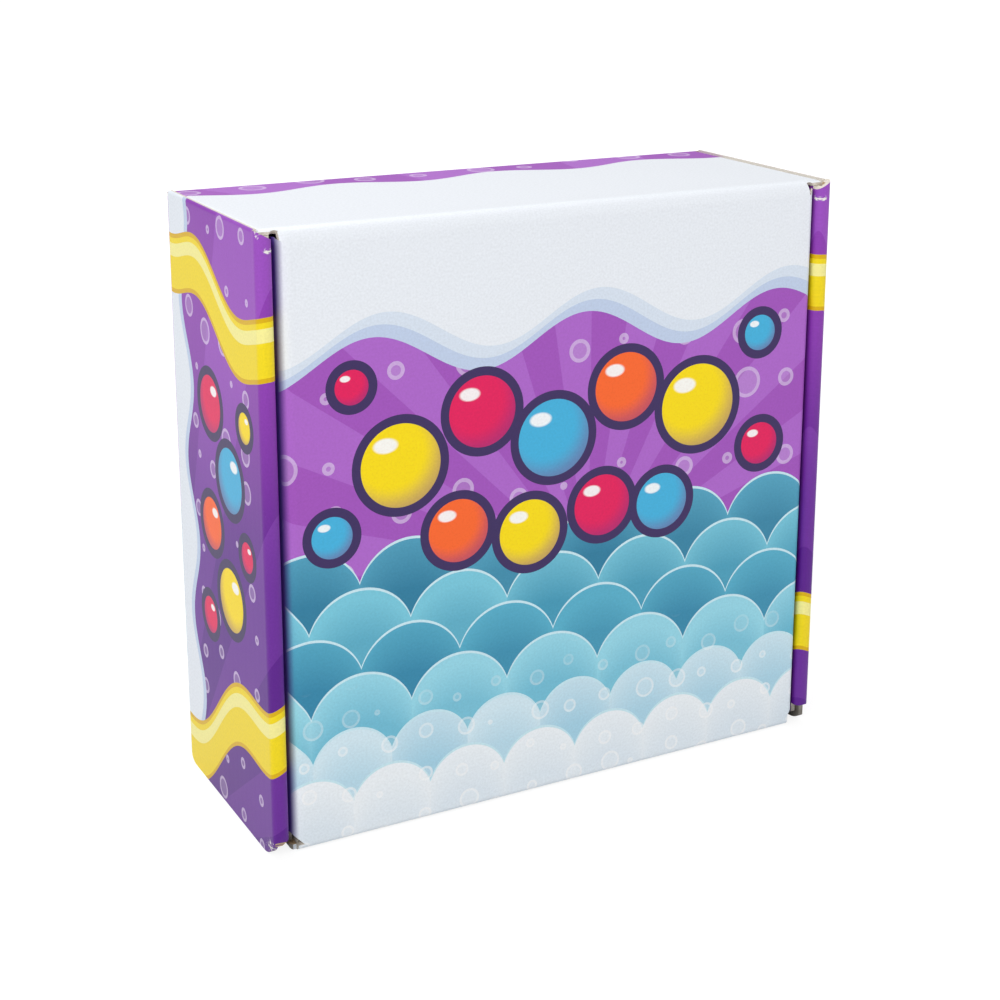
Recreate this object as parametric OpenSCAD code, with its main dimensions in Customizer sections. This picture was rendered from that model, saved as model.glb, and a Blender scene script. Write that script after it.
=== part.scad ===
// Bubble snake set: a folding carton of corrugated board with a blower, a dip dish and
// a bottle of bubble solution on a die-cut insert. The closed carton stands on the lower
// edges of its side walls with the lid facing -Y, and the origin is under its middle.

/* [Box] */
// Outside width of the closed box
box_w = 168; // [150:1:200]
// Outside depth of the closed box, from the rolled edges to the base
box_d = 66; // [62:1:90]
// Outside height of the closed box as it stands
box_h = 163; // [150:1:200]
// Thickness of the corrugated board
board = 1.4; // [1.1:0.1:1.8]
// Clearance between folded layers of board
layer_gap = 0.1; // [0.05:0.05:0.2]
// Outside radius of the fold between the lid and the rear wall
fold_r = 4; // [1.8:0.1:6]
// Outside radius of the fold between the lid and its front flap
flap_fold_r = 1.7; // [1.5:0.1:3]
// Height of the side walls above the rear wall
wall_rise = 0.3; // [0:0.1:2]
// Depth of the side walls below the front flap
wall_drop = 0.7; // [0:0.1:3]

/* [Lid] */
// Depth of the lid's face behind the rolled edges
lid_recess = 1.2; // [0.2:0.1:2]
// Gap between the lid and each rolled edge
lid_gap = 0.9; // [0.4:0.1:1.5]
// Radius of the relief hole at each end of the lid's crease
relief_r = 1.3; // [0.8:0.1:2.5]
// Width of the slanted cut at the lid's lower corners
lid_corner_w = 2; // [1:0.5:4]
// Height of the slanted cut at the lid's lower corners
lid_corner_h = 5; // [2:0.5:8]
// Depth of the lid's wings
wing_d = 14; // [10:1:18]
// Length of the slanted ends of a wing
wing_taper = 8; // [4:1:12]
// Distance from a wing's lower end to the ear below it
wing_ear_gap = 4; // [2:1:10]
// Distance from a wing's upper end to the relief hole
wing_head_gap = 6; // [3:1:12]
// Length of the front flap under the box
flap_len = 59; // [45:1:60]
// Radius of the front flap's free corners
flap_corner_r = 7; // [3:1:12]
// Reach of the locking ears from the flap's crease
ear_r = 32; // [24:1:36]
// Start of the ears behind the flap's crease
ear_start = 4; // [3:0.5:8]

/* [Side walls] */
// Depth of the rolled edges' channel
roll_depth = 3; // [2.5:0.5:6]
// Outside radius of the rolled edges
roll_r = 1.9; // [1.4:0.1:2.1]
// Drop of the rolled edges' slanted upper ends
roll_head = 2.5; // [0.5:0.5:5]
// Rise of the rolled edges' slanted lower ends
roll_foot = 5.8; // [2:0.2:8]
// Radius of the side walls' lower front corners
toe_r = 8; // [2:0.5:10]
// Radius of the side walls' lower back corners
heel_r = 5; // [1:0.5:6]
// Length of the corner flaps inside the side walls
corner_flap_len = 56; // [35:1:65]
// Slant of the corner flaps' ends
corner_flap_taper = 7; // [3:1:10]
// Width of a locking tab
tab_w = 24; // [14:1:34]
// Distance between the two locking tabs of a wall
tab_pitch = 76; // [50:1:90]
// Clearance round a locking tab in its slot
tab_gap = 0.15; // [0.1:0.05:0.4]
// Clearance of the ears in the front wall's slots
ear_gap = 0.3; // [0.2:0.1:0.8]

/* [Insert] */
// Height of the insert's platform over the base
platform_h = 34; // [26:1:40]
// Clearance of the insert to the walls and the base
seat_gap = 0.3; // [0.2:0.1:0.6]
// Clearance of the insert to the ears and wings
insert_side_gap = 1.3; // [0.6:0.1:3]
// Clearance of the kit in the insert's cut-outs
pocket_gap = 0.6; // [0.4:0.1:1.5]

/* [Blower] */
// Length of the blower
blower_len = 122; // [100:1:130]
// Outside radius of the blower's wide end
blower_wide_r = 18.5; // [16:0.5:20]
// Outside radius of the blower's neck
blower_neck_r = 8; // [6.5:0.5:10]
// Outside radius of the mouthpiece's lip
blower_lip_r = 11; // [9:0.5:13]
// Wall of the blower
blower_wall = 1.6; // [1.2:0.1:2.4]
// Length of the straight wide end
blower_skirt = 18; // [14:1:24]
// Length of the mouthpiece
blower_mouth = 22; // [16:1:30]
// Height and depth of the bead round the wide end
blower_bead = 1; // [0.6:0.1:1.6]
// Thickness of the cloth cover
cloth = 1; // [0.8:0.1:1.4]
// Height of the cloth cover on the blower's side
cloth_h = 15; // [12:1:17]
// Thickness of the elastic band
band = 2; // [1.4:0.1:2.6]
// Height of the band's centre above the wide end
band_z = 8; // [6:0.5:10]
// Clearance between the blower, the cloth and the band
wrap_gap = 0.15; // [0.1:0.05:0.3]

/* [Dip dish] */
// Width of the dish over its rim
dish_w = 54; // [48:1:56]
// Length of the dish over its rim
dish_len = 132; // [110:1:138]
// Depth of the dish
dish_h = 26; // [18:1:30]
// Wall of the dish
dish_wall = 1.3; // [1:0.1:2]
// Width of the dish's rim
dish_rim = 1.5; // [1:0.1:2.5]
// Draft of the dish's wall, from rim to floor
dish_draft = 3; // [1:0.5:6]
// Radius between the dish's floor and wall
dish_floor_r = 6; // [3:0.5:9]

/* [Bottle] */
// Outside radius of the bottle
bottle_r = 21; // [18:0.5:22]
// Height of the bottle to the top of its neck
bottle_h = 118; // [100:1:124]
// Outside radius of the bottle's neck
bottle_neck_r = 11.5; // [9:0.5:13]
// Height of the bottle's neck
bottle_neck_h = 15; // [12:1:18]
// Height of the bottle's shoulder
bottle_shoulder = 14; // [10:1:20]
// Wall of the bottle
bottle_wall = 1.2; // [0.8:0.1:1.8]
// Radius round the bottle's foot
bottle_foot_r = 4; // [2:0.5:6]
// Level of the bubble solution over the bottle's floor
solution_h = 80; // [40:1:84]
// Height of the cap's skirt
cap_skirt = 12; // [9:0.5:13]
// Thickness of the cap's top and side
cap_wall = 1.5; // [1.2:0.1:2]
// Radial clearance between the cap and the neck
cap_gap = 0.35; // [0.3:0.05:0.6]
// Number of grip ribs round the cap
cap_ribs = 30; // [18:1:40]
// Radius of a grip rib
cap_rib_r = 0.5; // [0.3:0.1:0.8]
// Thickness of the cap's liner
liner = 1; // [0.6:0.1:1.5]
// Clearance under and over the liner
liner_gap = 0.1; // [0.05:0.05:0.2]
// Rise of the cap as it unscrews
cap_lift = 4.5; // [3:0.5:6]

/* [Hidden] */
$fn = 64;
// Overlap of a cutting shape past the face that it cuts
past = 1;
// Gap between two panels that turn against each other at a crease
crease_gap = 0.05;
// Points along a curved outline
curve_steps = 10;

// Planes of the closed box, from the outside in
side_x = box_w / 2;
outer_in_x = side_x - board;
flap_out_x = outer_in_x - layer_gap;
flap_in_x = flap_out_x - board;
inner_out_x = flap_in_x - layer_gap;
inner_x = inner_out_x - board;
front_y = -box_d / 2;
back_y = box_d / 2;
base_in_y = back_y - board;
roll_y = front_y + roll_depth;
top_z = box_h - wall_rise;
top_in_z = top_z - board;
lid_y = front_y + lid_recess;
lid_in_y = lid_y + board;
lid_x = inner_x - lid_gap;
wing_in_x = lid_x - board;
floor_z = wall_drop + board + layer_gap;
floor_in_z = floor_z + board;

// Lid wings stand clear of the ears' tops
wing_z0 = wall_drop + ear_r + wing_ear_gap;
wing_z1 = top_in_z - relief_r - wing_head_gap;
// The front wall's slots take the ears as they swing
slot_y = lid_y + ear_r + past;

// Insert
insert_x = wing_in_x - insert_side_gap;
insert_z0 = floor_in_z + seat_gap;
insert_z1 = top_in_z - seat_gap;
insert_y1 = base_in_y - seat_gap;
platform_y = insert_y1 - platform_h;
middle_z = (insert_z0 + insert_z1) / 2;

// The blower's cloth and band, from the bead outwards
bead_r = blower_wide_r + blower_bead;
cloth_in_r = bead_r + wrap_gap;
cloth_r = cloth_in_r + cloth;
band_ring_r = cloth_r + wrap_gap + band / 2;
band_r = band_ring_r + band / 2;

// The cap over the bottle's neck
cap_in_r = bottle_neck_r + cap_gap;
cap_out_r = cap_in_r + cap_wall;
liner_z = bottle_h + liner_gap;
cap_in_z = liner_z + liner + liner_gap;
cap_top_z = cap_in_z + cap_wall;
cap_z0 = cap_in_z - cap_skirt;

// Places of the kit: equal spaces across the insert, each piece on the base side
kit_space = (2 * insert_x - 2 * band_r - dish_h - 2 * bottle_r) / 4;
blower_x = -insert_x + kit_space + band_r;
dish_x = blower_x + band_r + kit_space;
bottle_x = dish_x + dish_h + kit_space + bottle_r;
blower_y = insert_y1 - band_r;
dish_y = insert_y1 - dish_w / 2;
bottle_y = insert_y1 - bottle_r;
blower_z = middle_z - (blower_len - cloth - wrap_gap) / 2;
bottle_z = middle_z - (cap_top_z + cap_lift) / 2;

print_purple = "mediumpurple";
print_white = "aliceblue";
raw_board = "tan";

// A flat shape drawn in Y and Z, run along X
module along_x(x0, x1) {
    translate([x0, 0, 0])
        rotate([90, 0, 90])
            linear_extrude(x1 - x0)
                children();
}

// A flat shape drawn in X and Z, run along Y
module along_y(y0, y1) {
    translate([0, y1, 0])
        rotate([90, 0, 0])
            linear_extrude(y1 - y0)
                children();
}

// A flat shape drawn in X and Y, run along Z
module along_z(z0, z1) {
    translate([0, 0, z0])
        linear_extrude(z1 - z0)
            children();
}

// A rectangle between two corners
module rect(low, high) {
    translate(low)
        square(high - low);
}

// What rounding takes off a corner whose shape lies towards the signs in side
module corner_cut(corner, side, r) {
    translate(corner)
        mirror([side.x < 0 ? 1 : 0, 0, 0])
            mirror([0, side.y < 0 ? 1 : 0, 0])
                difference() {
                    translate([-past, -past])
                        square(r + past);
                    translate([r, r])
                        circle(r);
                }
}

// The mirror image of a left piece, on the right side
module on_right() {
    mirror([1, 0, 0])
        children();
}

// The outside of lid, rear wall and flap seen from the side, with their soft folds
module lid_outline() {
    difference() {
        rect([lid_y, wall_drop], [back_y, top_z]);
        corner_cut([lid_y, top_z], [1, -1], fold_r);
        corner_cut([lid_y, wall_drop], [1, 1], flap_fold_r);
        corner_cut([back_y, top_z], [-1, -1], board);
    }
}

// The outside of a side wall seen from the side
module side_outline() {
    difference() {
        rect([front_y, 0], [back_y, box_h]);
        corner_cut([front_y, 0], [1, 1], toe_r);
        corner_cut([back_y, 0], [-1, 1], heel_r);
    }
}

// The relief holes at the ends of the lid's crease, through the middle of its fold
module crease_relief() {
    fold_in = fold_r * (1 - cos(45));
    for (side = [-1, 1])
        translate([side * (lid_x - relief_r / 3), lid_y + fold_in, top_z - fold_in])
            rotate([45, 0, 0])
                cylinder(r = relief_r, h = 2 * fold_r, center = true);
}

// Back face of the box, with four slots for the side walls' locking tabs
module base_panel() {
    color(print_white)
        difference() {
            intersection() {
                along_x(-side_x, side_x)
                    difference() {
                        rect([base_in_y, floor_z], [back_y, top_z]);
                        corner_cut([back_y, top_z], [-1, -1], board);
                        corner_cut([back_y, floor_z], [-1, 1], board);
                    }
                along_z(0, box_h)
                    difference() {
                        rect([-side_x, base_in_y], [side_x, back_y]);
                        corner_cut([-side_x, back_y], [1, -1], board);
                        corner_cut([side_x, back_y], [-1, -1], board);
                    }
            }
            for (side = [-1, 1], up = [-1, 1])
                translate([side * (inner_x + board / 2), back_y, middle_z + up * tab_pitch / 2])
                    cube([board + 2 * tab_gap, 4 * board, tab_w + 2 * tab_gap], center = true);
        }
}

// Top face of the standing box, narrowed at the front between the rolled edges
module rear_wall() {
    color(print_white)
        difference() {
            intersection() {
                along_x(-flap_out_x, flap_out_x)
                    intersection() {
                        rect([lid_y, top_in_z], [base_in_y, top_z]);
                        lid_outline();
                    }
                along_y(lid_y, base_in_y)
                    difference() {
                        rect([-flap_out_x, top_in_z], [flap_out_x, top_z]);
                        corner_cut([-flap_out_x, top_z], [1, -1], board);
                        corner_cut([flap_out_x, top_z], [-1, -1], board);
                    }
            }
            for (side = [-1, 1])
                translate([side * (lid_x + box_w / 2), front_y, top_z])
                    cube([box_w, 2 * (roll_depth + layer_gap), 4 * board], center = true);
            crease_relief();
        }
}

// Bottom of the tray, above the lid's flap, slotted at both ends for the ears
module front_wall() {
    color(raw_board)
        along_z(floor_z, floor_in_z)
            difference() {
                rect([-flap_out_x, lid_in_y + seat_gap], [flap_out_x, base_in_y]);
                for (side = [-1, 1])
                    translate([side * (wing_in_x - ear_gap + box_w / 2), 0])
                        rect([-box_w / 2, front_y], [box_w / 2, slot_y]);
            }
}

// Outer layer of a side wall
module left_outer_wall() {
    color(print_purple)
        along_x(-side_x, -outer_in_x)
            intersection() {
                rect([roll_y, 0], [base_in_y, box_h]);
                side_outline();
            }
}

module right_outer_wall() {
    on_right()
        left_outer_wall();
}

// Rolled edge that joins the outer and inner layers at the lid, its ends slanted towards the inner layer
module left_roll_edge() {
    color(print_purple)
        intersection() {
            along_z(0, box_h)
                difference() {
                    rect([-side_x, front_y], [-inner_x, roll_y]);
                    corner_cut([-side_x, front_y], [1, 1], roll_r);
                    corner_cut([-inner_x, front_y], [-1, 1], roll_r);
                    rect([-outer_in_x, front_y + board], [-inner_out_x, roll_y + past]);
                }
            along_x(-side_x, -inner_x)
                side_outline();
            along_y(front_y, roll_y)
                polygon([
                    [-side_x, 0],
                    [-inner_x, roll_foot],
                    [-inner_x, box_h - roll_head],
                    [-side_x, box_h]
                ]);
        }
}

module right_roll_edge() {
    on_right()
        left_roll_edge();
}

// Inner layer of a side wall, with two tabs that lock in the base
module left_inner_wall() {
    color(raw_board)
        along_x(-inner_out_x, -inner_x) {
            rect([roll_y, floor_in_z + layer_gap], [base_in_y, top_in_z - layer_gap]);
            for (up = [-1, 1])
                rect([roll_y, middle_z + up * tab_pitch / 2 - tab_w / 2],
                     [back_y - tab_gap, middle_z + up * tab_pitch / 2 + tab_w / 2]);
        }
}

module right_inner_wall() {
    on_right()
        left_inner_wall();
}

// A corner flap's outline in Y and Z, from its crease at z0 towards the sign in up
module corner_flap_outline(y0, z0, up) {
    y1 = base_in_y - layer_gap;
    z1 = z0 + up * corner_flap_len;
    polygon([[y0, z0], [y1, z0], [y1, z1 - up * corner_flap_taper], [y1 - corner_flap_taper, z1],
             [y0 + corner_flap_taper, z1], [y0, z1 - up * corner_flap_taper]]);
}

// Corner flap folded from the rear wall into the side wall
module rear_left_corner_flap() {
    color(raw_board)
        along_x(-flap_out_x, -flap_in_x)
            corner_flap_outline(roll_y + layer_gap, top_in_z, -1);
}

module rear_right_corner_flap() {
    on_right()
        rear_left_corner_flap();
}

// Corner flap folded from the front wall into the side wall, behind the ear's slot
module front_left_corner_flap() {
    color(raw_board)
        along_x(-flap_out_x, -flap_in_x)
            corner_flap_outline(slot_y, floor_in_z, 1);
}

module front_right_corner_flap() {
    on_right()
        front_left_corner_flap();
}

// Large face of the box, hung on the rear wall by a crease
module lid_panel() {
    color(print_purple)
        difference() {
            intersection() {
                along_x(-lid_x, lid_x)
                    intersection() {
                        rect([lid_y, wall_drop + board + crease_gap], [lid_in_y, top_in_z - crease_gap]);
                        lid_outline();
                    }
                along_z(0, box_h)
                    difference() {
                        rect([-lid_x, lid_y], [lid_x, lid_in_y]);
                        corner_cut([-lid_x, lid_y], [1, 1], board);
                        corner_cut([lid_x, lid_y], [-1, 1], board);
                    }
                along_y(front_y, back_y)
                    polygon([[lid_corner_w - lid_x, wall_drop], [lid_x - lid_corner_w, wall_drop],
                             [lid_x, wall_drop + lid_corner_h], [lid_x, top_z],
                             [-lid_x, top_z], [-lid_x, wall_drop + lid_corner_h]]);
            }
            crease_relief();
        }
}

// Dust flap at the side of the lid, tucked inside the side wall
module left_wing() {
    color(raw_board)
        along_x(-lid_x, -wing_in_x)
            polygon([[lid_in_y, wing_z0], [lid_in_y + wing_d, wing_z0 + wing_taper],
                     [lid_in_y + wing_d, wing_z1 - wing_taper], [lid_in_y, wing_z1]]);
}

module right_wing() {
    on_right()
        left_wing();
}

// Flap at the lid's lower edge, folded under the front wall
module front_flap() {
    color(print_white)
        intersection() {
            along_x(-lid_x, lid_x)
                intersection() {
                    rect([lid_y, wall_drop], [lid_y + flap_len, wall_drop + board]);
                    lid_outline();
                }
            along_y(front_y, back_y)
                difference() {
                    rect([-lid_x, wall_drop], [lid_x, wall_drop + board]);
                    corner_cut([-lid_x, wall_drop], [1, 1], board / 2);
                    corner_cut([lid_x, wall_drop], [-1, 1], board / 2);
                }
            along_z(wall_drop, wall_drop + board)
                difference() {
                    rect([-lid_x, lid_y], [lid_x, lid_y + flap_len]);
                    corner_cut([-lid_x, lid_y + flap_len], [1, -1], flap_corner_r);
                    corner_cut([lid_x, lid_y + flap_len], [-1, -1], flap_corner_r);
                    for (side = [-1, 1])
                        polygon([[side * (lid_x + past), lid_y - past],
                                 [side * (lid_x - lid_corner_w), lid_y - past],
                                 [side * (lid_x - lid_corner_w), lid_y],
                                 [side * (lid_x + past), lid_y + ear_start]]);
                }
        }
}

// Locking ear of the front flap, a quarter round about the flap's crease
module left_ear() {
    color(raw_board)
        along_x(-lid_x, -wing_in_x)
            intersection() {
                translate([lid_y, wall_drop])
                    circle(ear_r);
                rect([lid_y + ear_start, wall_drop + board], [back_y, box_h]);
            }
}

module right_ear() {
    on_right()
        left_ear();
}

// A rectangle with round corners
module round_rect(low, high, r) {
    difference() {
        rect(low, high);
        corner_cut(low, [1, 1], r);
        corner_cut(high, [-1, -1], r);
        corner_cut([low.x, high.y], [1, -1], r);
        corner_cut([high.x, low.y], [-1, 1], r);
    }
}

// Die-cut platform: a tapered pocket for the blower, a slot for the dish, a pocket for the bottle
module insert_platform() {
    bottle_pocket = bottle_r + pocket_gap;
    cap_pocket = cap_out_r + cap_rib_r + pocket_gap;
    shoulder_z = bottle_z + bottle_h - bottle_neck_h;
    color(print_white)
        along_y(platform_y, platform_y + board)
            difference() {
                rect([-insert_x, insert_z0], [insert_x, insert_z1]);
                translate([blower_x, blower_z])
                    polygon(concat(
                        pocket_side(1),
                        [for (i = [len(pocket_side(1)) - 1 : -1 : 0]) pocket_side(-1)[i]]));
                round_rect([dish_x - pocket_gap, middle_z - dish_len / 2 - seat_gap],
                           [dish_x + dish_h + pocket_gap, middle_z + dish_len / 2 + pocket_gap], dish_wall);
                round_rect([bottle_x - bottle_pocket, bottle_z - seat_gap],
                           [bottle_x + bottle_pocket, shoulder_z], bottle_foot_r);
                rect([bottle_x - cap_pocket, shoulder_z - bottle_foot_r],
                     [bottle_x + cap_pocket, bottle_z + cap_top_z + cap_lift + pocket_gap]);
            }
}

// One side of the blower's pocket, from the wide end to the mouthpiece
function pocket_side(side) = [
    [side * (band_r + pocket_gap), -cloth - wrap_gap - seat_gap],
    [side * (band_r + pocket_gap), blower_skirt],
    [side * (blower_lip_r + pocket_gap), blower_len - blower_mouth],
    [side * (blower_lip_r + pocket_gap), blower_len + pocket_gap]];

// Folded leg at a side of the insert
module insert_left_leg() {
    color(raw_board)
        along_x(-insert_x, -insert_x + board)
            rect([platform_y + board, insert_z0 + board], [insert_y1, insert_z1 - board]);
}

module insert_right_leg() {
    on_right()
        insert_left_leg();
}

// Folded legs at the lower and upper ends of the insert
module insert_lower_leg() {
    color(raw_board)
        along_x(-insert_x, insert_x)
            rect([platform_y + board, insert_z0], [insert_y1, insert_z0 + board]);
}

module insert_upper_leg() {
    color(raw_board)
        along_x(-insert_x, insert_x)
            rect([platform_y + board, insert_z1 - board], [insert_y1, insert_z1]);
}

// An easy step from 0 to 1, flat at both ends
function ease(t) = t * t * (3 - 2 * t);

// Radius of the blower's outside at height z: wide skirt, taper, neck and flared lip
function blower_radius(z) =
    let (neck_z = blower_len - blower_mouth)
    z <= blower_skirt ? blower_wide_r :
    z <= neck_z ? blower_wide_r
        + (blower_neck_r - blower_wide_r) * ease((z - blower_skirt) / (neck_z - blower_skirt)) :
    blower_neck_r + (blower_lip_r - blower_neck_r) * ease((z - neck_z) / blower_mouth);

// Outline of the blower's side between two heights, set in from the outside by inset
function blower_side(z0, z1, inset) =
    [for (i = [0 : 2 * curve_steps])
        let (z = z0 + (z1 - z0) * i / (2 * curve_steps))
        [blower_radius(z) - inset, z]];

// Tapered tube that is blown through, with a bead at the wide end and a lip to blow at
module blower_body() {
    color("gold")
        translate([blower_x, blower_y, blower_z])
            difference() {
                union() {
                    rotate_extrude()
                        polygon(concat([[0, 0]], blower_side(0, blower_len, 0), [[0, blower_len]]));
                    translate([0, 0, blower_bead])
                        rotate_extrude()
                            translate([blower_wide_r, 0])
                                circle(blower_bead, $fn = 24);
                    translate([0, 0, blower_len - blower_wall])
                        rotate_extrude()
                            translate([blower_lip_r - blower_wall / 2, 0])
                                circle(blower_wall, $fn = 24);
                }
                rotate_extrude()
                    polygon(concat([[0, -past]], [[blower_wide_r - blower_wall, -past]],
                                   blower_side(0, blower_len, blower_wall),
                                   [[blower_lip_r - blower_wall, blower_len + past]],
                                   [[0, blower_len + past]]));
            }
}

// Cloth cover over the wide end, gathered under the band
module blower_cloth() {
    bottom = -cloth - wrap_gap;
    color("white")
        translate([blower_x, blower_y, blower_z])
            rotate_extrude()
                difference() {
                    rect([0, bottom], [cloth_r, cloth_h]);
                    rect([-past, -wrap_gap], [cloth_in_r, cloth_h + past]);
                    corner_cut([cloth_r, bottom], [-1, 1], cloth);
                }
}

// Elastic band round the cloth
module blower_band() {
    color("hotpink")
        translate([blower_x, blower_y, blower_z + band_z])
            rotate_extrude()
                translate([band_ring_r, 0])
                    circle(band / 2, $fn = 24);
}

// Half section of the dish from its axis: floor, floor curve, drafted wall, rim
function dish_section(half_w, depth, r) = concat(
    [[0, 0]],
    [for (i = [0 : curve_steps])
        let (a = -90 + 90 * i / curve_steps)
        [half_w - dish_draft - r + r * cos(a), r + r * sin(a)]],
    [[half_w, depth], [0, depth]]);

// An oblong solid of one half section: two round ends and a straight middle
module oblong(section, straight) {
    for (end = [-1, 1])
        translate([0, end * straight / 2, 0])
            rotate_extrude()
                polygon(section);
    rotate([90, 0, 0])
        linear_extrude(straight, center = true)
            for (side = [0, 1])
                mirror([side, 0, 0])
                    polygon(section);
}

// Oblong trough for the solution, on its edge in the insert with its open side to +X
module dip_dish() {
    half_w = dish_w / 2 - dish_rim;
    straight = dish_len - dish_w;
    inner = dish_section(half_w - dish_wall, dish_h, dish_floor_r - dish_wall);
    color("white")
        translate([dish_x, dish_y, middle_z])
            rotate([90, 0, 90])
                difference() {
                    union() {
                        oblong(dish_section(half_w, dish_h, dish_floor_r), straight);
                        translate([0, 0, dish_h - dish_wall])
                            linear_extrude(dish_wall) {
                                square([dish_w, straight], center = true);
                                for (end = [-1, 1])
                                    translate([0, end * straight / 2])
                                        circle(dish_w / 2);
                            }
                    }
                    translate([0, 0, dish_wall])
                        oblong(inner, straight);
                }
}

// Half outline of the bottle, set in from its outside by inset, up to height top
function bottle_side(inset, top) =
    let (foot = bottle_foot_r - inset, shoulder_z = bottle_h - bottle_neck_h - bottle_shoulder)
    concat(
        [for (i = [0 : curve_steps])
            let (a = -90 + 90 * i / curve_steps)
            [bottle_r - bottle_foot_r + foot * cos(a), bottle_foot_r + foot * sin(a)]],
        [for (i = [0 : curve_steps])
            let (t = i / curve_steps)
            [bottle_r - inset + (bottle_neck_r - bottle_r) * ease(t), shoulder_z + bottle_shoulder * t]],
        [[bottle_neck_r - inset, top]]);

// Blow-moulded bottle, hollow, with an open neck
module solution_bottle() {
    color("lightcyan")
        translate([bottle_x, bottle_y, bottle_z])
            rotate_extrude()
                difference() {
                    polygon(concat([[0, 0]], bottle_side(0, bottle_h), [[0, bottle_h]]));
                    polygon(concat([[0, bottle_wall]], bottle_side(bottle_wall, bottle_h + past),
                                   [[0, bottle_h + past]]));
                }
}

// Bubble solution inside the bottle
module bubble_solution() {
    inset = bottle_wall + liner_gap;
    color("skyblue")
        translate([bottle_x, bottle_y, bottle_z])
            rotate_extrude()
                intersection() {
                    polygon(concat([[0, inset]], bottle_side(inset, bottle_h), [[0, bottle_h]]));
                    rect([0, 0], [bottle_r, bottle_wall + solution_h]);
                }
}

// Screw cap with grip ribs, hollow over the neck
module bottle_cap() {
    color("deeppink")
        translate([bottle_x, bottle_y, bottle_z])
            difference() {
                union() {
                    translate([0, 0, cap_z0])
                        cylinder(r = cap_out_r, h = cap_top_z - cap_z0);
                    for (i = [1 : cap_ribs])
                        rotate(i * 360 / cap_ribs)
                            translate([cap_out_r, 0, cap_z0])
                                cylinder(r = cap_rib_r, h = cap_top_z - cap_z0 - cap_wall, $fn = 16);
                }
                translate([0, 0, cap_z0 - past])
                    cylinder(r = cap_in_r, h = cap_in_z - cap_z0 + past);
            }
}

// Sealing disc between the neck and the cap's top
module cap_liner() {
    color("white")
        translate([bottle_x, bottle_y, bottle_z + liner_z])
            cylinder(r = bottle_neck_r, h = liner);
}

base_panel();
rear_wall();
front_wall();
left_outer_wall();
right_outer_wall();
left_roll_edge();
right_roll_edge();
left_inner_wall();
right_inner_wall();
rear_left_corner_flap();
rear_right_corner_flap();
front_left_corner_flap();
front_right_corner_flap();
lid_panel();
left_wing();
right_wing();
front_flap();
left_ear();
right_ear();
insert_platform();
insert_left_leg();
insert_right_leg();
insert_lower_leg();
insert_upper_leg();
blower_body();
blower_cloth();
blower_band();
dip_dish();
solution_bottle();
bottle_cap();
cap_liner();
bubble_solution();
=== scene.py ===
import math

import bpy
import numpy as np
from mathutils import Matrix, Vector


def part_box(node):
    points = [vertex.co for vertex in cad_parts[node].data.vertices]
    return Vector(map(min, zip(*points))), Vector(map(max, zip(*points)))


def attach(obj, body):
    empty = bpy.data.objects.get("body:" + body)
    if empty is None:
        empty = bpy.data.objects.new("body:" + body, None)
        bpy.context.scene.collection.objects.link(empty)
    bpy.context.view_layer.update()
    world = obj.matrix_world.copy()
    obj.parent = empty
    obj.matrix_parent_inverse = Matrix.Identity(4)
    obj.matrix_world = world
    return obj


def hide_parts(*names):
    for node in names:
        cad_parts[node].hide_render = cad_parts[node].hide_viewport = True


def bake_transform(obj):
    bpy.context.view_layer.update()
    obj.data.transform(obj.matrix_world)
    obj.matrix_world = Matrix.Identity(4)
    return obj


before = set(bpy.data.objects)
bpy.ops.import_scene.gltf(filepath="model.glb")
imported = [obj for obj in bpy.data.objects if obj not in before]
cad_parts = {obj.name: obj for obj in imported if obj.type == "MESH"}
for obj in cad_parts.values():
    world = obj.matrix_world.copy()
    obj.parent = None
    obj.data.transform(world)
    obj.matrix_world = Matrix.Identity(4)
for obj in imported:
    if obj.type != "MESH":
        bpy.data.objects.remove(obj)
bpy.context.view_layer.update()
bpy.context.scene.view_settings.view_transform = "Standard"

# Board
# The carton is die-cut from one sheet of corrugated board: a printed white paper outside, a brown
# kraft paper inside, and a wavy paper between them that shows wherever the board is cut.
mm = 0.001
board = 1.4 * mm
flute_pitch = 3.3 * mm


def colour(code):
    """An sRGB hex colour as the linear colour that a shader takes."""
    parts = [int(code[i:i + 2], 16) / 255 for i in (1, 3, 5)]
    return [*(c / 12.92 if c <= 0.04045 else ((c + 0.055) / 1.055) ** 2.4 for c in parts), 1.0]


def node(tree, kind, inputs=(), out=0, **settings):
    """Adds a shader node with its settings, sets or links its inputs by number or name, and
    returns one of its outputs."""
    made = tree.nodes.new("ShaderNode" + kind)
    for name, value in settings.items():
        setattr(made, name, value)
    for key, value in dict(inputs).items():
        if isinstance(value, bpy.types.NodeSocket):
            tree.links.new(value, made.inputs[key])
        else:
            made.inputs[key].default_value = value
    return made.outputs[out] if made.outputs else None


def calc(tree, operation, *values, **settings):
    """The result of a sum on one to three values."""
    return node(tree, "Math", dict(enumerate(values)), operation=operation, **settings)


def ramp(tree, value, start, end, low=0.0, high=1.0, **settings):
    """A value brought from one range to another, and held at its ends."""
    return node(tree, "MapRange", {"Value": value, "From Min": start, "From Max": end,
                                   "To Min": low, "To Max": high}, **settings)


def mix(tree, share, under, over):
    """One colour laid over another by a share. Either may be a hex colour."""
    under, over = (colour(ink) if isinstance(ink, str) else ink for ink in (under, over))
    return node(tree, "Mix", {0: share, 6: under, 7: over}, out=2, data_type="RGBA")


def noise(tree, place, scale, detail):
    """Cloudy noise, with as many clouds to a unit of length as the scale says."""
    return node(tree, "TexNoise", {"Vector": place, "Scale": scale, "Detail": detail})


def bump(tree, height, strength, depth, **settings):
    """The surface's normal, turned as a relief of this depth would turn it."""
    return node(tree, "Bump", {"Height": height, "Strength": strength, "Distance": depth},
                **settings)


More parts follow.
